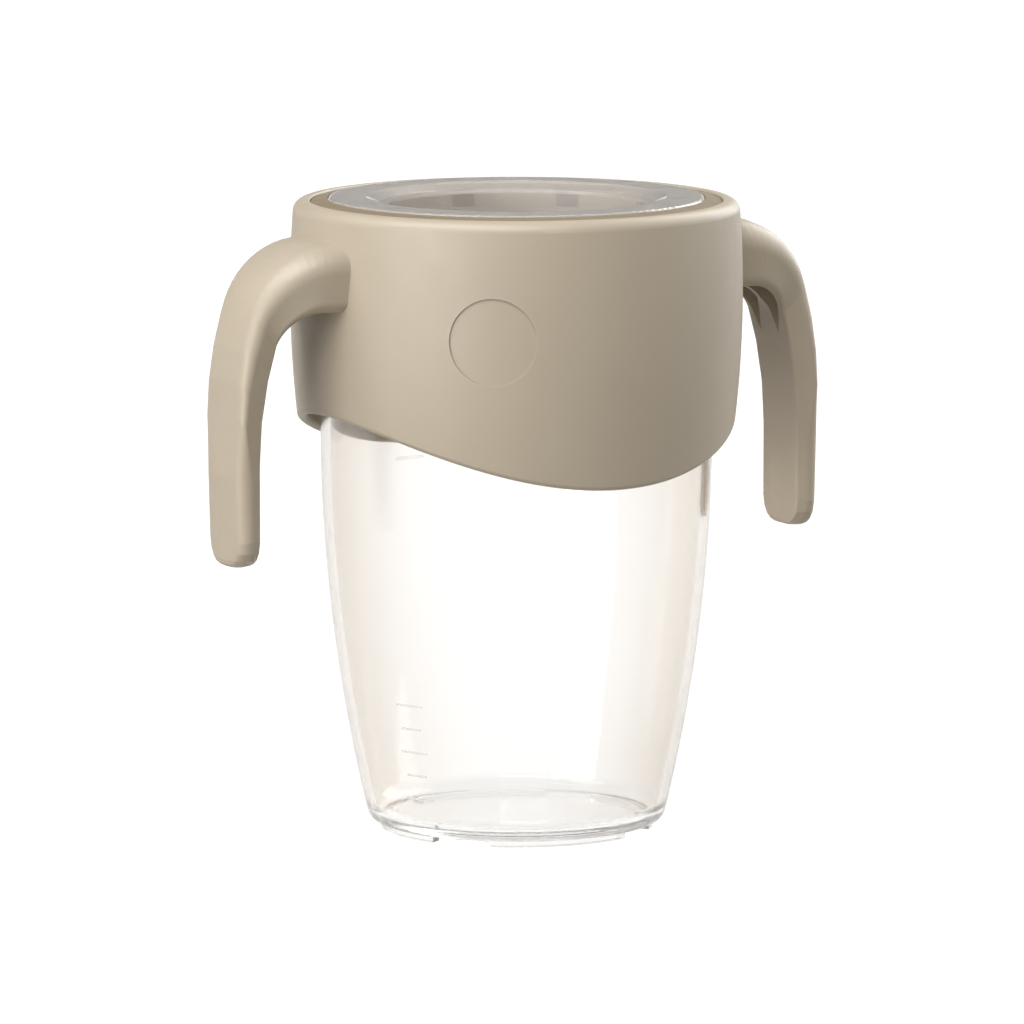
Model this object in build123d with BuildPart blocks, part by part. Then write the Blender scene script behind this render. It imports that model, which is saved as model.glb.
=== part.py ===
from build123d import *

import os
from math import cos, radians, sin, sqrt

# Training cup, in millimetres. Z is up, the cup stands on Z = 0 and its axis is the Z axis.
# The handles point along X and the low points of the skirt's hem are at the front, -Y, and back.
os.makedirs("parts", exist_ok=True)

# Cup
cup_height = 103.0
neck_radius = 35.6
neck_wall = 1.8
neck_length = 17.9
shoulder_step = 1.05
shoulder_slope = 1.1
belly_drop = 27.0
side_arc_radius = 310.0
cup_wall = 1.8
cup_floor = 1.7
base_corner_radius = 2.6
floor_corner_radius = 3.4
rim_round = 0.5
foot_height = 1.1
foot_inset = 1.97
foot_width = 2.6
foot_count = 4
foot_gap = 10.6
foot_gap_turn = 36.0

# Screw collar
thread_room = 1.3
sleeve_wall = 1.5
sleeve_length = 20.0
skirt_space = 1.85
collar_wall = 2.0
collar_arc_radius = 212.0
collar_widest_drop = 17.2
skirt_front_length = 50.1
skirt_side_length = 37.9
hem_round = 0.95
ledge_width = 1.6
drinking_edge_height = 1.2
drinking_edge_round = 2.2
drinking_edge_inner_round = 0.4
roof_thickness = 3.6
clamp_width = 1.6
clamp_thickness = 1.6
badge_radius = 8.1
badge_depth = 0.3
badge_drop = 22.0
badge_turn = 34.4

# Strap handles
handle_top_drop = 6.4
arm_height = 11.9
handle_reach = 19.0
handle_length = 58.6
outer_bend_radius = 17.0
outer_bend_turn = 71.0
outer_leg_radius = 60.0
inner_bend_radius = 8.2
inner_bend_turn = 73.0
inner_leg_radius = 75.0
leg_thickness = 4.35
leg_taper = 0.6
root_width = 23.4
root_draft = 1.4
leg_width = 15.8
leg_draft = 1.5
tip_corner = 5.0
tip_round = 1.2
root_outer_round = 5.0
leg_outer_round = 2.4
root_inner_round = 2.8
leg_inner_round = 0.6
outer_round_share = 0.55
inner_round_share = 0.25
root_crown = 1.5
leg_crown = 0.9
width_fade = 1.7
bend_step = 6
tip_turns = (0, 25, 45, 60, 72, 82, 90)
leg_shares = (0.9, 0.5)
core_wall = 1.3
core_rib = 1.4
core_roof = 2.2
core_straight = 10.0
core_bow_reach = 9.6
core_bow_half = 6.9
core_tip_reach = 12.4
core_tip_half = 3.3
tongue_width = 14.0
tongue_height = 8.0
tongue_depth = 1.6
tongue_clearance = 0.1
boss_width = 18.0

# Lid parts under the drinking edge
seal_thickness = 1.6
seal_width = 2.0
seal_round = 0.5
carrier_flange = 1.6
carrier_ring_width = 5.0
carrier_height = 11.7
hub_wall = 1.6
web_count = 8
web_turn = 17.0
web_thickness = 1.8
web_overlap = 1.0
notch_width = 6.0
notch_depth = 2.5
notch_turn = -5.5
valve_thickness = 1.0
valve_lip_step = 0.6
valve_tip_thickness = 0.8
valve_slope = 0.6
valve_inner_radius = 28.7
disc_thickness = 1.2
disc_round = 0.8
flow_gap = 1.7
cone_radius = 28.0
cone_depth = 1.4
well_radius = 24.7
well_draft = 0.5
well_depth = 9.2
well_wall = 1.5
well_corner_radius = 1.6

# Gaps between pieces
seat_gap = 0.05
turning_gap = 0.1
plug_gap = 0.15
lip_gap = 0.25
flange_gap = 0.3

# Radii worked outward from the cup's neck
belly_radius = neck_radius + shoulder_step
neck_bore = neck_radius - neck_wall
sleeve_bore = neck_radius + thread_room
sleeve_radius = sleeve_bore + sleeve_wall
collar_radius = sleeve_radius + skirt_space + collar_wall
ledge_radius = sleeve_bore + ledge_width
clamp_radius = sleeve_bore - clamp_width
disc_radius = sleeve_bore - flow_gap
valve_radius = ledge_radius - lip_gap
flange_radius = sleeve_bore - flange_gap
ring_bore = flange_radius - carrier_ring_width
well_outer_radius = well_radius + well_wall
hub_bore = well_outer_radius + plug_gap
hub_radius = hub_bore + hub_wall

# Heights worked upward from the cup's rim
shoulder_z = cup_height - neck_length - shoulder_slope
belly_z = cup_height - belly_drop
seal_z = cup_height + seat_gap
carrier_z = seal_z + seal_thickness + seat_gap
clamp_z = carrier_z + carrier_flange + turning_gap
carrier_top = carrier_z + carrier_height
valve_z = carrier_top + seat_gap
disc_z = valve_z + valve_thickness + seat_gap
disc_top = disc_z + disc_thickness
ledge_z = valve_z + valve_lip_step - seat_gap
crest_z = ledge_z + drinking_edge_height
roof_z = ledge_z - roof_thickness
sleeve_end_z = clamp_z - sleeve_length
hem_front_z = crest_z - skirt_front_length
hem_side_z = crest_z - skirt_side_length
collar_widest_z = crest_z - collar_widest_drop
handle_top_z = crest_z - handle_top_drop
handle_end_z = handle_top_z - handle_length

round_the_axis = Axis.Z
beyond = 5.0


def cup_side(z):
    """Radius of the tumbler's bowed outer side at height z."""
    return belly_radius - side_arc_radius + sqrt(side_arc_radius**2 - (z - belly_z) ** 2)


def collar_side(z):
    """Radius of the collar's bowed outer side at height z."""
    return collar_radius - collar_arc_radius + sqrt(collar_arc_radius**2 - (z - collar_widest_z) ** 2)


# Cup body: one turned shell with a stepped neck, standing on a foot ring cut into arcs
floor_z = foot_height + cup_floor
foot_outer_radius = cup_side(foot_height) - foot_inset
inner_shoulder_z = shoulder_z - cup_wall / 2
inner_neck_z = inner_shoulder_z + shoulder_slope
bow_z = (floor_z + shoulder_z) / 2

with BuildPart() as cup_body:
    with BuildSketch(Plane.XZ) as cup_section:
        with BuildLine():
            outer_side = ThreePointArc(
                (cup_side(foot_height), foot_height),
                (cup_side(bow_z), bow_z),
                (cup_side(shoulder_z), shoulder_z),
            )
            neck = Polyline(
                outer_side @ 1,
                (neck_radius, shoulder_z + shoulder_slope),
                (neck_radius, cup_height),
                (neck_bore, cup_height),
                (neck_bore, inner_neck_z),
                (cup_side(inner_shoulder_z) - cup_wall, inner_shoulder_z),
            )
            inner_side = ThreePointArc(
                neck @ 1,
                (cup_side(bow_z) - cup_wall, bow_z),
                (cup_side(floor_z) - cup_wall, floor_z),
            )
            Polyline(inner_side @ 1, (0, floor_z), (0, foot_height), outer_side @ 0)
        make_face()
        base_corner = cup_section.vertices().sort_by_distance(outer_side @ 0)[0]
        fillet(base_corner, base_corner_radius)
        floor_corner = cup_section.vertices().sort_by_distance(inner_side @ 1)[0]
        fillet(floor_corner, floor_corner_radius)
        rim_corners = cup_section.vertices().group_by(Axis.Y)[-1]
        fillet(rim_corners, rim_round)
    revolve(axis=round_the_axis)

    with BuildSketch(Plane.XY):
        Circle(foot_outer_radius)
        Circle(foot_outer_radius - foot_width, mode=Mode.SUBTRACT)
        with PolarLocations(foot_outer_radius, foot_count, start_angle=foot_gap_turn):
            Rectangle(2 * foot_width + beyond, foot_gap, mode=Mode.SUBTRACT)
    extrude(amount=foot_height)

cup_body.part.label = "cup_body"
export_step(cup_body.part, "parts/cup_body.step")


# The collar's outer form, from well below the hem up to the crest
skirt_start_z = hem_front_z - beyond


def side_points(inset, top_z):
    """Three points of the collar's bowed side, moved inward by an inset, up to a height."""
    middle_z = (skirt_start_z + top_z) / 2
    return [(collar_side(z) - inset, z) for z in (skirt_start_z, middle_z, top_z)]


def collar_form(inset):
    """Solid that fills the collar's bowed side, moved inward by an inset."""
    with BuildPart() as form:
        with BuildSketch(Plane.XZ):
            with BuildLine():
                form_side = ThreePointArc(*side_points(inset, crest_z))
                Polyline(form_side @ 1, (0, crest_z), (0, skirt_start_z), form_side @ 0)
            make_face()
        revolve(axis=round_the_axis)
    return form.part


# The shallow round recess on the skirt, of even depth behind the bowed side
badge_z = crest_z - badge_drop
badge_direction = Vector(-sin(radians(badge_turn)), -cos(radians(badge_turn)), 0)
badge_plane = Plane(origin=(0, 0, badge_z), x_dir=badge_direction.cross(Vector(0, 0, 1)), z_dir=badge_direction)
badge_floor = collar_form(badge_depth)

with BuildPart() as badge_recess:
    with BuildSketch(badge_plane):
        Circle(badge_radius)
    extrude(amount=collar_radius + beyond)
    add(badge_floor, mode=Mode.SUBTRACT)

# Collar: skirt, inner screw sleeve, clamping flange, valve ledge and drinking edge in one section
root_z = handle_top_z - arm_height / 2
boss_low_z = root_z - arm_height / 2
socket_floor = collar_radius - tongue_depth - tongue_clearance
sleeve_middle = (sleeve_bore + sleeve_radius) / 2
skirt_middle = collar_radius - collar_wall / 2
hem_reach = collar_side(hem_side_z)

with BuildPart() as collar:
    with BuildSketch(Plane.XZ) as collar_section:
        with BuildLine():
            skirt_outside = ThreePointArc(*side_points(0, crest_z))
            Polyline(
                skirt_outside @ 1,
                (ledge_radius, crest_z),
                (ledge_radius, ledge_z),
                (sleeve_bore, ledge_z),
                (sleeve_bore, clamp_z + clamp_thickness),
                (clamp_radius, clamp_z + clamp_thickness),
                (clamp_radius, clamp_z),
                (sleeve_bore, clamp_z),
                (sleeve_bore, sleeve_end_z),
                (sleeve_radius, sleeve_end_z),
                (sleeve_radius, roof_z),
                (collar_side(roof_z) - collar_wall, roof_z),
            )
            skirt_inside = ThreePointArc(*side_points(collar_wall, roof_z))
            Line(skirt_inside @ 0, skirt_outside @ 0)
        make_face()
        edge_outer = collar_section.vertices().sort_by_distance(skirt_outside @ 1)[0]
        fillet(edge_outer, drinking_edge_round)
        edge_inner = collar_section.vertices().sort_by_distance((ledge_radius, crest_z))[0]
        fillet(edge_inner, drinking_edge_inner_round)
    revolve(axis=round_the_axis)

    # The hem: seen from the front it is one wide arc, low in the middle
    with BuildSketch(Plane.XZ):
        with BuildLine():
            hem_arc = ThreePointArc(
                (-hem_reach, hem_side_z),
                (0, hem_front_z),
                (hem_reach, hem_side_z),
            )
            Polyline(
                hem_arc @ 1,
                (hem_reach + beyond, hem_side_z),
                (hem_reach + beyond, skirt_start_z - beyond),
                (-hem_reach - beyond, skirt_start_z - beyond),
                (-hem_reach - beyond, hem_side_z),
                hem_arc @ 0,
            )
        make_face()
    extrude(amount=collar_radius + beyond, both=True, mode=Mode.SUBTRACT)
    hem_edges = collar.edges().filter_by_position(Axis.Z, hem_front_z - beyond, hem_side_z + beyond)
    fillet(hem_edges.sort_by(SortBy.LENGTH)[-2:], hem_round)

    # Solid bosses between sleeve and skirt, behind the handle roots
    with BuildSketch(Plane.XY.offset(boss_low_z)):
        Circle(skirt_middle)
        Circle(sleeve_middle, mode=Mode.SUBTRACT)
        Rectangle(3 * collar_radius, boss_width, mode=Mode.INTERSECT)
    extrude(amount=roof_z - boss_low_z + roof_thickness / 2)

    # Blind sockets for the tongues of the handles, one on each side
    for side_plane in (Plane.YZ, Plane.YZ.rotated((0, 0, 180))):
        with BuildSketch(side_plane.offset(socket_floor)):
            with Locations((0, root_z)):
                Rectangle(tongue_width + 2 * tongue_clearance, tongue_height + 2 * tongue_clearance)
        extrude(amount=beyond, mode=Mode.SUBTRACT)

    # The shallow round recess on the face
    add(badge_recess.part, mode=Mode.SUBTRACT)

collar.part.label = "collar"
export_step(collar.part, "parts/collar.step")


# Right handle: a strap lofted from the collar outwards, over the bend and down the hanging leg
outer_leg_x = collar_radius + handle_reach
inner_leg_x = outer_leg_x - leg_thickness
inner_top_z = handle_top_z - arm_height
root_start_x = collar_radius - 2 * collar_wall
bend_turns = range(0, 91, bend_step)


def bend_point(turn, leg_x, top_z, bend_radius, bend_turn, leg_radius):
    """Point of a side outline that turns from level to upright in two arcs, as X and Z."""
    split = radians(bend_turn)
    bend_x = leg_x - leg_radius * (1 - sin(split)) - bend_radius * sin(split)
    bend_z = top_z - bend_radius
    if turn <= bend_turn:
        return (bend_x + bend_radius * sin(radians(turn)), bend_z + bend_radius * cos(radians(turn)))
    leg_z = bend_z + (bend_radius - leg_radius) * cos(split)
    return (leg_x - leg_radius * (1 - sin(radians(turn))), leg_z + leg_radius * cos(radians(turn)))


def outer_point(turn):
    """Point on the outer edge of the bend where the strap has turned by so many degrees."""
    return bend_point(turn, outer_leg_x, handle_top_z, outer_bend_radius, outer_bend_turn, outer_leg_radius)


def inner_point(turn):
    """Point on the inner edge of the bend where the strap has turned by so many degrees."""
    return bend_point(turn, inner_leg_x, inner_top_z, inner_bend_radius, inner_bend_turn, inner_leg_radius)


def fade(turn, root_value, leg_value):
    """A size of the strap's section, passing from its value at the root to that of the leg."""
    return leg_value + (root_value - leg_value) * max(cos(radians(turn)), 0) ** width_fade


def strap_section(turn, inner, outer, narrowing=0.0):
    """Section of the strap: drafted sides, crowned outer face, round corners, narrowed at the tip."""
    depth = Vector(outer[0] - inner[0], 0, outer[1] - inner[1])
    section_plane = Plane(origin=(inner[0], 0, inner[1]), x_dir=(0, 1, 0), z_dir=(depth.Z, 0, -depth.X))
    outer_half = fade(turn, root_width, leg_width) / 2 - narrowing
    inner_half = outer_half - fade(turn, root_draft, leg_draft)
    crown = fade(turn, root_crown, leg_crown)
    with BuildSketch(section_plane) as section:
        with BuildLine():
            crown_arc = ThreePointArc(
                (-outer_half, depth.length),
                (0, depth.length + crown),
                (outer_half, depth.length),
            )
            Polyline(crown_arc @ 1, (inner_half, 0), (-inner_half, 0), crown_arc @ 0)
        make_face()
        outer_round = min(fade(turn, root_outer_round, leg_outer_round), outer_round_share * depth.length)
        fillet(section.vertices().group_by(Axis.Y)[-1], outer_round)
        inner_round = min(fade(turn, root_inner_round, leg_inner_round), inner_round_share * depth.length)
        fillet(section.vertices().group_by(Axis.Y)[0], inner_round)
    return section.sketch


def leg_section(height):
    """Section of the leg at a height above its end: tapered outside, rounded off near the end."""
    corner_drop = max(tip_corner - height, 0)
    narrowing = tip_corner - sqrt(tip_corner**2 - corner_drop**2)
    round_drop = max(tip_round - height, 0)
    inset = tip_round - sqrt(tip_round**2 - round_drop**2)
    taper = leg_taper * (1 - height / leg_height)
    inner = (inner_leg_x + inset, handle_end_z + height)
    outer = (outer_leg_x - taper - inset, handle_end_z + height)
    return strap_section(90, inner, outer, narrowing)


leg_height = min(inner_point(90)[1], outer_point(90)[1]) - handle_end_z
bend_sections = [strap_section(turn, inner_point(turn), outer_point(turn)) for turn in bend_turns]
root_section = strap_section(0, (root_start_x, inner_top_z), (root_start_x, handle_top_z))
leg_sections = [leg_section(leg_height * share) for share in leg_shares]
tip_sections = [leg_section(tip_corner * (1 - sin(radians(turn)))) for turn in tip_turns]

# The core: two pockets pulled from below, one each side of a rib, running out to a point
core_start_x = collar_radius + core_wall
core_start_half = root_width / 2 - root_draft - core_wall
core_low_z = inner_point(90)[1]
core_tip_x = collar_radius + core_tip_reach
outer_bend_centre_x = outer_point(0)[0]
outer_bend_centre_z = handle_top_z - outer_bend_radius
roof_radius = outer_bend_radius - core_roof
collar_solid = collar_form(0)

with BuildPart() as handle_core:
    with BuildSketch(Plane.XY.offset(core_low_z)):
        with BuildLine():
            pocket_side = ThreePointArc(
                (core_tip_x, core_tip_half),
                (collar_radius + core_bow_reach, core_bow_half),
                (core_start_x, core_start_half),
            )
            Polyline(
                pocket_side @ 1,
                (core_start_x, core_rib / 2),
                (collar_radius + core_straight, core_rib / 2),
                pocket_side @ 0,
            )
        make_face()
        mirror(about=Plane.XZ)
    extrude(amount=arm_height + handle_length)
    with BuildSketch(Plane.XZ):
        with Locations((outer_bend_centre_x, outer_bend_centre_z)):
            Circle(roof_radius)
        with Locations((core_start_x, outer_bend_centre_z)):
            Rectangle(3 * roof_radius, handle_length, align=(Align.CENTER, Align.MAX))
    extrude(amount=root_width, both=True, mode=Mode.INTERSECT)

with BuildPart() as right_handle:
    loft([root_section] + bend_sections + leg_sections + tip_sections, ruled=True)
    add(handle_core.part, mode=Mode.SUBTRACT)
    add(collar_solid, mode=Mode.SUBTRACT)
    with BuildSketch(Plane.YZ.offset(collar_radius - tongue_depth)):
        with Locations((0, root_z)):
            Rectangle(tongue_width, tongue_height)
    extrude(amount=tongue_depth + core_wall)

right_handle.part.label = "right_handle"
export_step(right_handle.part, "parts/right_handle.step")

# Left handle: the same strap on the other side
with BuildPart() as left_handle:
    mirror(right_handle.part, about=Plane.YZ)

left_handle.part.label = "left_handle"
export_step(left_handle.part, "parts/left_handle.step")


# Seal: a soft ring on the cup's rim
seal_middle = (neck_radius + neck_bore) / 2

with BuildPart() as cup_seal:
    with BuildSketch(Plane.XZ) as seal_section:
        with Locations((seal_middle, seal_z + seal_thickness / 2)):
            Rectangle(seal_width, seal_thickness)
        fillet(seal_section.vertices(), seal_round)
    revolve(axis=round_the_axis)

cup_seal.part.label = "cup_seal"
export_step(cup_seal.part, "parts/cup_seal.step")


# Valve carrier: a flanged ring and a hub joined by upright webs, with flow windows between them
web_outer_radius = ring_bore + web_overlap
web_middle = (hub_radius + web_outer_radius) / 2

with BuildPart() as valve_carrier:
    with BuildSketch(Plane.XY.offset(carrier_z)):
        Circle(flange_radius)
        Circle(ring_bore, mode=Mode.SUBTRACT)
    extrude(amount=carrier_flange)
    with BuildSketch(Plane.XY.offset(carrier_z)):
        Circle(hub_radius)
        with PolarLocations(web_middle, web_count, start_angle=web_turn):
            Rectangle(web_outer_radius - hub_radius + hub_wall, web_thickness)
        Circle(hub_bore, mode=Mode.SUBTRACT)
    extrude(amount=carrier_height)

    # Notches in the hub's upper edge, between the webs
    with BuildSketch(Plane.XY.offset(carrier_top - notch_depth)):
        with PolarLocations(hub_radius, web_count, start_angle=notch_turn):
            Rectangle(2 * hub_wall + 2 * turning_gap, notch_width)
    extrude(amount=notch_depth, mode=Mode.SUBTRACT)

valve_carrier.part.label = "valve_carrier"
export_step(valve_carrier.part, "parts/valve_carrier.step")


# Lid insert: clear disc with a conical step down to a closed well that plugs into the hub
well_floor_z = disc_top - well_depth
well_foot_radius = well_outer_radius - well_draft
cone_foot_z = carrier_top + turning_gap
cone_under_radius = cone_radius + (valve_inner_radius - cone_radius) / 2

with BuildPart() as lid_insert:
    with BuildSketch(Plane.XZ) as insert_section:
        with BuildLine():
            Polyline(
                (0, well_floor_z),
                (well_radius - well_draft, well_floor_z),
                (well_radius, disc_top - cone_depth),
                (cone_radius, disc_top),
                (disc_radius, disc_top),
                (disc_radius, disc_z),
                (cone_under_radius, disc_z),
                (well_outer_radius, cone_foot_z),
                (well_foot_radius, well_floor_z - well_wall),
                (0, well_floor_z - well_wall),
                close=True,
            )
        make_face()
        disc_edge = insert_section.vertices().sort_by_distance((disc_radius, disc_top))[0]
        fillet(disc_edge, disc_round)
        well_corner = insert_section.vertices().sort_by_distance((well_radius - well_draft, well_floor_z))[0]
        fillet(well_corner, well_corner_radius)
        well_foot = insert_section.vertices().sort_by_distance((well_foot_radius, well_floor_z - well_wall))[0]
        fillet(well_foot, well_corner_radius)
    revolve(axis=round_the_axis)

lid_insert.part.label = "lid_insert"
export_step(lid_insert.part, "parts/lid_insert.step")


# Valve lip: soft ring held under the disc, with a thicker lip that lies on the collar's ledge
lip_start = sleeve_bore - turning_gap
lip_low_z = valve_z + valve_lip_step
lip_inner_radius = disc_radius + turning_gap
lip_tip_z = lip_low_z + valve_tip_thickness

with BuildPart() as valve_lip:
    with BuildSketch(Plane.XZ):
        with BuildLine():
            Polyline(
                (valve_inner_radius, valve_z),
                (lip_start - valve_lip_step, valve_z),
                (lip_start, lip_low_z),
                (valve_radius, lip_low_z),
                (valve_radius, lip_tip_z),
                (lip_inner_radius, lip_tip_z + valve_slope),
                (lip_inner_radius, valve_z + valve_thickness),
                (valve_inner_radius, valve_z + valve_thickness),
                close=True,
            )
        make_face()
    revolve(axis=round_the_axis)

valve_lip.part.label = "valve_lip"
export_step(valve_lip.part, "parts/valve_lip.step")
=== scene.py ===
from math import cos, pi, radians, sin, sqrt

import bpy
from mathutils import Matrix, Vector


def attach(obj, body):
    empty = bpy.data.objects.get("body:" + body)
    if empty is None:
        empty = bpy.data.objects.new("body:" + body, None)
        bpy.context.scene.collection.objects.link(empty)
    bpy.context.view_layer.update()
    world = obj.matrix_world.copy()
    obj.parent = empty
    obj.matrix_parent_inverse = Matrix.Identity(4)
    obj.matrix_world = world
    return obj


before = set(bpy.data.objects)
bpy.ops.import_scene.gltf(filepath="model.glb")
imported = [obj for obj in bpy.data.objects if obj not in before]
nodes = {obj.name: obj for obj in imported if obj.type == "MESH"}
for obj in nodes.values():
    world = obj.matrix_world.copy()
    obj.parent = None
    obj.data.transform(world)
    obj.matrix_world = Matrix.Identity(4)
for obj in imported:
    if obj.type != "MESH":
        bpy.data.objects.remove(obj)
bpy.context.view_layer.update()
scene = bpy.context.scene


# Camera: the view is worked out from the ellipses of the rim and the foot in the photograph
picture_side = 1024
sensor_width = 36.0
focal_pixels = 9137
camera_distance = 1.694
camera_height = 0.2976
camera_azimuth = radians(-28.5)
camera_pitch = radians(8.01)
axis_offset_pixels = 4.5
clip_near = 0.05
clip_far = 50


def add_camera():
    """The camera at the photograph's height and angle, with the cup's axis just right of the middle."""
    data = bpy.data.cameras.new("camera")
    data.sensor_width = sensor_width
    data.lens = focal_pixels * sensor_width / picture_side
    data.clip_start = clip_near
    data.clip_end = clip_far
    camera = bpy.data.objects.new("camera", data)
    scene.collection.objects.link(camera)
    camera.location = (
        camera_distance * sin(camera_azimuth),
        -camera_distance * cos(camera_azimuth),
        camera_height,
    )
    turn = camera_azimuth + axis_offset_pixels / focal_pixels
    camera.rotation_euler = (pi / 2 - camera_pitch, 0, turn)
    scene.camera = camera


# Nodes: they are made in a material or the world, and an input is a value or another node's output
def rgba(colour):
    """The colour with full alpha, as a colour socket takes it."""
    return (*colour, 1)


def set_inputs(made, node, inputs):
    """Gives a node's input sockets their values, or links them to the given outputs."""
    for name, value in inputs.items():
        if isinstance(value, bpy.types.NodeSocket):
            made.node_tree.links.new(value, node.inputs[name])
        else:
            node.inputs[name].default_value = value


def add_node(made, kind, inputs=None, **settings):
    """A new node of that kind, with its settings and its inputs."""
    node = made.node_tree.nodes.new(kind)
    for name, value in settings.items():
        setattr(node, name, value)
    set_inputs(made, node, inputs or {})
    return node


def new_material(name, inputs):
    """A material whose Principled shader has these inputs."""
    made = bpy.data.materials.new(name)
    made.use_nodes = True
    set_inputs(made, made.node_tree.nodes["Principled BSDF"], inputs)
    return made


def noise(made, scale, detail):
    """Noise over the piece's own coordinates, in features per metre."""
    place = add_node(made, "ShaderNodeTexCoord")
    inputs = {"Vector": place.outputs["Object"], "Scale": scale, "Detail": detail}
    return add_node(made, "ShaderNodeTexNoise", inputs).outputs["Fac"]


def spread(made, source, low, high, from_low=0.3, from_high=0.7):
    """The source mapped to a range from low to high; noise lies mostly between 0.3 and 0.7."""
    inputs = {"Value": source, "From Min": from_low, "From Max": from_high, "To Min": low, "To Max": high}
    return add_node(made, "ShaderNodeMapRange", inputs).outputs["Result"]


def calculate(made, operation, first, second):
    """The result of an operation on two numbers."""
    inputs = {0: first, 1: second}
    return add_node(made, "ShaderNodeMath", inputs, operation=operation).outputs["Value"]


def mix_colour(made, factor, first, second):
    """A colour that passes from the first to the second with the factor."""
    inputs = {"Factor": factor, "A": first, "B": second}
    return add_node(made, "ShaderNodeMix", inputs, data_type="RGBA").outputs["Result"]


def bump(made, height, strength, depth):
    """The surface direction, tilted as if the height stood out by that depth."""
    inputs = {"Height": height, "Strength": strength, "Distance": depth}
    return add_node(made, "ShaderNodeBump", inputs).outputs["Normal"]


def show_shader(made, factor, first, second):
    """Shows the first shader where the factor is zero and the second where it is one."""
    pick = add_node(made, "ShaderNodeMixShader", {"Fac": factor, 1: first, 2: second})
    output = made.node_tree.nodes["Material Output"]
    set_inputs(made, output, {"Surface": pick.outputs["Shader"]})


# Materials: lengths in metres, noise in features per metre
mottle_scale = 60.0
mottle_shade = 0.97
gloss_scale = 180.0
grain_strength = 0.6
paler_edge_width = 0.0006
paler_edge_share = 0.35
paler_edge_agreement = 0.8
open_agreement = 0.995
bevel_samples = 6
rubbing_scale = 300.0
ripple_scale = 90.0
ripple_strength = 0.4
edge_on_blend = 0.5
foot_low = 0.0034
foot_high = 0.0055


def edge_mask(made):
    """One along convex and concave edges, zero on open faces."""
    rounded = add_node(made, "ShaderNodeBevel", {"Radius": paler_edge_width}, samples=bevel_samples)
    flat = add_node(made, "ShaderNodeNewGeometry")
    inputs = {0: rounded.outputs["Normal"], 1: flat.outputs["Normal"]}
    agree = add_node(made, "ShaderNodeVectorMath", inputs, operation="DOT_PRODUCT")
    return spread(made, agree.outputs["Value"], 1.0, 0.0, paler_edge_agreement, open_agreement)


def moulded(name, colour, worn_and_highlight_colour, roughness, grain_scale, grain_depth, inputs=None):
    """Moulded plastic: fine grain, uneven gloss, slight mottling, and paler edges, partly wear and partly
    painted highlight.
    """
    made = new_material(name, inputs or {})
    mottle = spread(made, noise(made, mottle_scale, detail=3.0), 0.0, 1.0)
    base = mix_colour(made, mottle, rgba([c * mottle_shade for c in colour]), rgba(colour))
    # Paler edges: partly wear, partly a painted highlight along the fillets and pocket rims
    wear_and_highlight = calculate(made, "MULTIPLY", edge_mask(made), paler_edge_share)
    surface = {
        "Base Color": mix_colour(made, wear_and_highlight, base, rgba(worn_and_highlight_colour)),
        "Roughness": spread(made, noise(made, gloss_scale, detail=4.0), *roughness),
        "Normal": bump(made, noise(made, grain_scale, detail=2.0), grain_strength, grain_depth),
    }
    set_inputs(made, made.node_tree.nodes["Principled BSDF"], surface)
    return made


def clear(name, colour, edge_reflection_colour, shade, roughness, ripple_depth, inputs, foot_colour=None):
    """Clear moulded plastic: warmer seen edge on, a painted reflection of the beige parts; slightly
    rippled, with faint rubbing marks.

    The foot may be given a greyer colour, which fades out between foot_low and foot_high. Lamps shine
    straight through, dimmed by the shade.
    """
    made = new_material(name, inputs)
    shader = made.node_tree.nodes["Principled BSDF"]
    slant = add_node(made, "ShaderNodeLayerWeight", {"Blend": edge_on_blend})
    # Painted reflection: the colour seen edge on stands for the beige parts mirrored in the clear wall
    colour_with_reflection = mix_colour(made, slant.outputs["Facing"], rgba(colour), rgba(edge_reflection_colour))
    if foot_colour:
        place = add_node(made, "ShaderNodeTexCoord")
        apart = add_node(made, "ShaderNodeSeparateXYZ", {"Vector": place.outputs["Object"]})
        foot = spread(made, apart.outputs["Z"], 1.0, 0.0, foot_low, foot_high)
        colour_with_reflection = mix_colour(made, foot, colour_with_reflection, rgba(foot_colour))
    surface = {
        "Base Color": colour_with_reflection,
        "Roughness": spread(made, noise(made, rubbing_scale, detail=4.0), *roughness),
        "Normal": bump(made, noise(made, ripple_scale, detail=1.0), ripple_strength, ripple_depth),
    }
    set_inputs(made, shader, surface)
    path = add_node(made, "ShaderNodeLightPath")
    passing = add_node(made, "ShaderNodeBsdfTransparent", {"Color": rgba(shade)})
    lamp_light = path.outputs["Is Shadow Ray"]
    show_shader(made, lamp_light, shader.outputs["BSDF"], passing.outputs["BSDF"])
    return made


beige = moulded(
    "beige_shell",
    colour=(0.41, 0.35, 0.266),
    worn_and_highlight_colour=(0.5, 0.44, 0.355),
    roughness=(0.4, 0.5),
    grain_scale=2600.0,
    grain_depth=0.00002,
    inputs={"Specular IOR Level": 0.62},
)
tan_silicone = moulded(
    "tan_silicone",
    colour=(0.215, 0.168, 0.108),
    worn_and_highlight_colour=(0.28, 0.225, 0.16),
    roughness=(0.38, 0.5),
    grain_scale=1800.0,
    grain_depth=0.000015,
)
milky = moulded(
    "milky_core",
    colour=(0.56, 0.52, 0.46),
    worn_and_highlight_colour=(0.62, 0.58, 0.52),
    roughness=(0.4, 0.5),
    grain_scale=2200.0,
    grain_depth=0.00002,
)
seal_silicone = moulded(
    "clear_silicone",
    colour=(0.7, 0.68, 0.64),
    worn_and_highlight_colour=(0.75, 0.73, 0.7),
    roughness=(0.4, 0.5),
    grain_scale=1800.0,
    grain_depth=0.000015,
)
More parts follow.
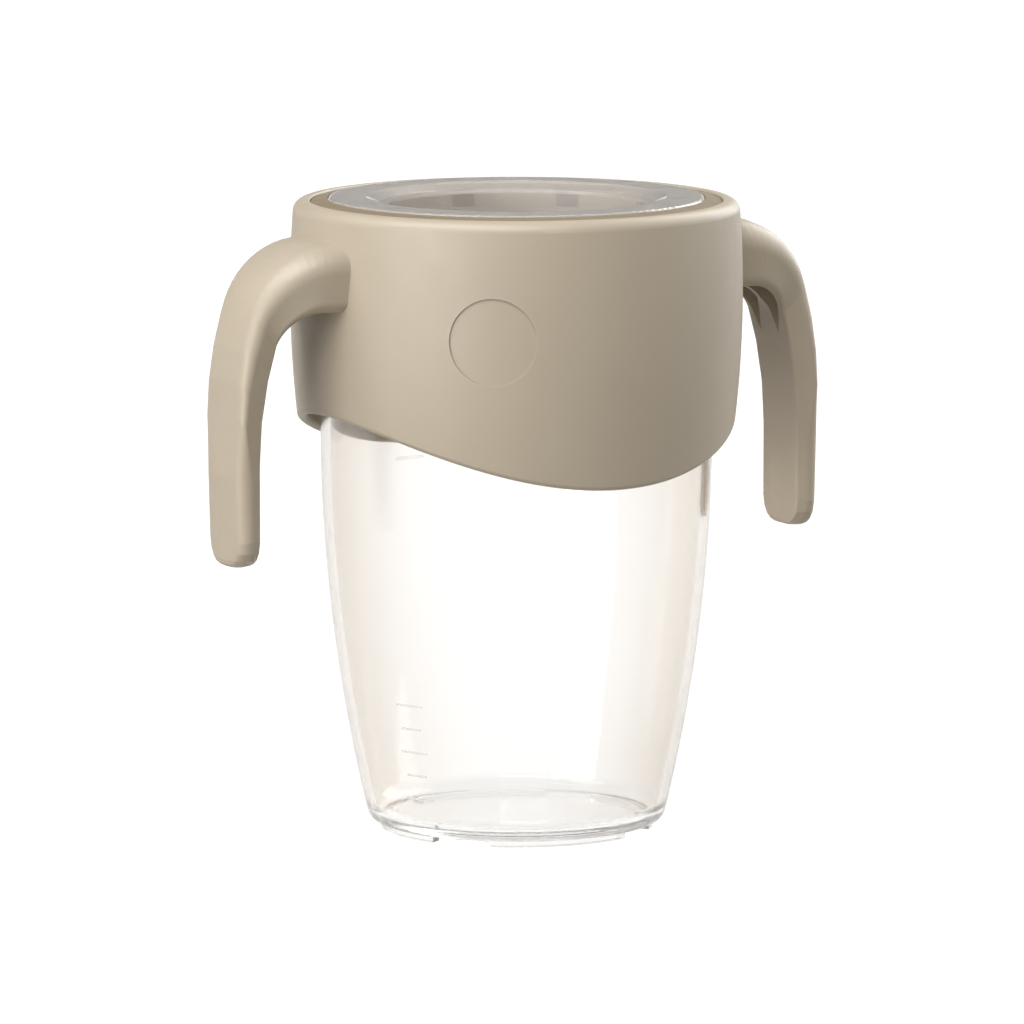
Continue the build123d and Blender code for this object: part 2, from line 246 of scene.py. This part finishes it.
cup_clear = clear(
    "clear_cup",
    colour=(0.985, 0.98, 0.975),
    edge_reflection_colour=(0.71, 0.64, 0.55),
    shade=(0.95, 0.94, 0.93),
    roughness=(0.02, 0.06),
    ripple_depth=0.00002,
    inputs={"Transmission Weight": 0.975, "IOR": 1.4},
    foot_colour=(0.87, 0.868, 0.862),
)
smoke = clear(
    "smoke_clear",
    colour=(0.64, 0.61, 0.575),
    edge_reflection_colour=(0.6, 0.57, 0.53),
    shade=(0.6, 0.58, 0.55),
    roughness=(0.06, 0.1),
    ripple_depth=0.000008,
    inputs={"Transmission Weight": 0.7, "IOR": 1.49, "Specular IOR Level": 0.4},
)

finishes = {
    "collar": beige,
    "left_handle": beige,
    "right_handle": beige,
    "valve_lip": tan_silicone,
    "valve_carrier": milky,
    "cup_seal": seal_silicone,
    "cup_body": cup_clear,
    "lid_insert": smoke,
}
for name, made in finishes.items():
    nodes[name].material_slots[0].material = made


# Moulded details, made as meshes that ride on the bodies
neck_radius = 0.0356
belly_radius = 0.03665
belly_z = 0.076
side_arc_radius = 0.31
sleeve_bore = 0.0369

thread_lead = 0.009
thread_turns = 1.25
thread_rise = 0.00095
thread_foot = 0.0026
thread_crest = 0.0012
thread_sink = 0.0002
thread_steps = 160
thread_run_out = 0.125
thread_end_share = 0.02
neck_thread_z = 0.0875
neck_thread_start = 0.0
sleeve_thread_z = 0.0905
sleeve_thread_start = pi / 6

mark_thickness = 0.00012
mark_sink = 0.00003
mark_columns = 8
fill_line_z = 0.0653
fill_line_height = 0.0006
fill_line_turn = radians(96.8)
fill_line_half_width = 0.0033
tick_count = 5
tick_z = 0.0085
tick_spacing = 0.0045
tick_height = 0.0004
tick_turn = radians(-156)
long_tick_half_width = 0.003
short_tick_half_width = 0.0022


def cup_side(z):
    """Radius of the cup's bowed outer side at height z."""
    return belly_radius - side_arc_radius + sqrt(side_arc_radius**2 - (z - belly_z) ** 2)


def swept(name, rings, made):
    """An object with faces between rings of points that follow each other, and a cap on each end."""
    size = len(rings[0])
    last = len(rings) - 1
    points = [point for ring in rings for point in ring]
    faces = []
    for i in range(last):
        low = i * size
        high = low + size
        for k in range(size):
            n = (k + 1) % size
            faces.append((low + k, low + n, high + n, high + k))
    faces.append(tuple(reversed(range(size))))
    faces.append(tuple(last * size + k for k in range(size)))
    mesh = bpy.data.meshes.new(name)
    mesh.from_pydata(points, [], faces)
    mesh.materials.append(made)
    mesh.validate()
    mesh.update()
    piece = bpy.data.objects.new(name, mesh)
    scene.collection.objects.link(piece)
    return piece


def thread(name, body, made, radius, rise, start_z, start_turn):
    """A screw rib that runs out at both ends: outward for a positive rise, inward for a negative one."""
    side = 1 if rise > 0 else -1
    inner = radius - side * thread_sink
    rings = []
    for step in range(thread_steps + 1):
        share = step / thread_steps
        run = min(1.0, share / thread_run_out, (1 - share) / thread_run_out)
        outer = radius + rise * max(sqrt(run), thread_end_share)
        turn = start_turn + 2 * pi * thread_turns * share
        z = start_z + thread_lead * thread_turns * share
        profile = [
            (inner, z - thread_foot / 2),
            (outer, z - thread_crest / 2),
            (outer, z + thread_crest / 2),
            (inner, z + thread_foot / 2),
        ]
        rings.append([(r * cos(turn), r * sin(turn), height) for r, height in profile])
    piece = swept(name, rings, made)
    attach(piece, body)


def wall_bar(name, turn, low_z, height, half_width):
    """A low raised bar on the cup's outer side, centred at a turn about the axis from +X."""
    high_z = low_z + height
    profile = [
        (low_z, -mark_sink),
        (low_z, mark_thickness),
        (high_z, mark_thickness),
        (high_z, -mark_sink),
    ]
    rings = []
    for column in range(mark_columns + 1):
        share = 2 * column / mark_columns - 1
        ring = []
        for z, lift in profile:
            r = cup_side(z) + lift
            a = turn + share * half_width / cup_side(z)
            ring.append((r * cos(a), r * sin(a), z))
        rings.append(ring)
    piece = swept(name, rings, cup_clear)
    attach(piece, "cup")


thread("neck_thread", "cup", cup_clear, neck_radius, thread_rise, neck_thread_z, neck_thread_start)
thread(
    "sleeve_thread", "screw_collar", beige, sleeve_bore, -thread_rise, sleeve_thread_z, sleeve_thread_start
)
wall_bar("fill_line", fill_line_turn, fill_line_z, fill_line_height, fill_line_half_width)
for i in range(tick_count):
    half_width = short_tick_half_width if i % 2 else long_tick_half_width
    wall_bar(f"scale_tick_{i + 1}", tick_turn, tick_z + tick_spacing * i, tick_height, half_width)


# Floor and surroundings: white to the camera and through clear plastic, weaker in reflections and
# far weaker as a source of scattered light
white = (1, 1, 1, 1)
floor_half_side = 6.0
floor_drop = 0.00015
floor_colour = (0.32, 0.305, 0.28, 1)
floor_roughness = 0.9
floor_gloss = 0.5
shadow_tone = (0.12, 0.12, 0.12, 1)
glow_near = 0.92
glow_far = 1.0
near_reach = 0.1
far_reach = 0.5
front_gloss = 1.0
back_gloss = 0.15
horizon_low = 0.078
horizon_high = 0.095
scattered_level = 0.02


def seen_directly(made, gloss):
    """One for camera rays and rays through clear plastic, the gloss in reflections, otherwise zero."""
    path = add_node(made, "ShaderNodeLightPath")
    level = calculate(made, "MULTIPLY", path.outputs["Is Glossy Ray"], gloss)
    for ray in ("Is Camera Ray", "Is Transmission Ray"):
        level = calculate(made, "MAXIMUM", level, path.outputs[ray])
    return level


def add_floor():
    """A wide pale floor that looks white and keeps a soft shadow."""
    half = floor_half_side
    corners = [(-half, -half), (half, -half), (half, half), (-half, half)]
    mesh = bpy.data.meshes.new("floor")
    mesh.from_pydata([(x, y, -floor_drop) for x, y in corners], [], [(0, 1, 2, 3)])
    floor = bpy.data.objects.new("floor", mesh)
    scene.collection.objects.link(floor)
    made = new_material("floor", {"Base Color": floor_colour, "Roughness": floor_roughness})
    shader = made.node_tree.nodes["Principled BSDF"]
    place = add_node(made, "ShaderNodeTexCoord")
    reach = add_node(made, "ShaderNodeVectorMath", {0: place.outputs["Object"]}, operation="LENGTH")
    strength = spread(made, reach.outputs["Value"], glow_near, glow_far, near_reach, far_reach)
    glow = add_node(made, "ShaderNodeEmission", {"Color": white, "Strength": strength})
    pale = add_node(made, "ShaderNodeBsdfDiffuse", {"Color": shadow_tone})
    both = add_node(made, "ShaderNodeAddShader", {0: glow.outputs["Emission"], 1: pale.outputs["BSDF"]})
    show_shader(made, seen_directly(made, floor_gloss), shader.outputs["BSDF"], both.outputs["Shader"])
    mesh.materials.append(made)


def add_world():
    """Surroundings whose reflection is bright in front and up to the horizon, and dim behind."""
    world = bpy.data.worlds.new("studio")
    world.use_nodes = True
    place = add_node(world, "ShaderNodeTexCoord")
    apart = add_node(world, "ShaderNodeSeparateXYZ", {"Vector": place.outputs["Generated"]})
    depth = spread(world, apart.outputs["Y"], front_gloss, back_gloss, -1.0, 1.0)
    horizon = spread(world, apart.outputs["Z"], 1.0, 0.0, horizon_low, horizon_high)
    seen = seen_directly(world, calculate(world, "MAXIMUM", depth, horizon))
    strength = spread(world, seen, scattered_level, 1.0, 0.0, 1.0)
    set_inputs(world, world.node_tree.nodes["Background"], {"Color": white, "Strength": strength})
    scene.world = world


# Lamps: where each stands, its width and height, all in metres, and its watts
lamp_aim = (0, 0, 0.07)
lamps = {
    "high_front": ((-0.60, -0.85, 1.45), 1.1, 1.1, 21.5),
    "low_left": ((-1.38, -0.35, 0.20), 1.0, 0.4, 9),
    "top_left": ((-0.9, 0.1, 1.35), 1.2, 1.2, 20),
    "right": ((1.45, -0.30, 0.80), 1.1, 1.4, 11),
    "right_back": ((1.36, 0.63, 0.80), 0.9, 1.4, 17),
}


def add_softbox(name, place, width, height, watts):
    """A rectangular area lamp that faces the middle of the cup."""
    data = bpy.data.lights.new(name, "AREA")
    data.shape = "RECTANGLE"
    data.size = width
    data.size_y = height
    data.energy = watts
    lamp = bpy.data.objects.new(name, data)
    scene.collection.objects.link(lamp)
    lamp.location = place
    lamp.rotation_euler = (Vector(place) - Vector(lamp_aim)).to_track_quat("Z", "Y").to_euler()


add_camera()
add_floor()
add_world()
for name, (place, width, height, watts) in lamps.items():
    add_softbox(name, place, width, height, watts)


# Settings: with Cycles' usual bounce limits the cup's thick clear base would render black
scene.view_settings.view_transform = "Standard"
scene.cycles.max_bounces = 32
scene.cycles.glossy_bounces = 24
scene.cycles.transmission_bounces = 32
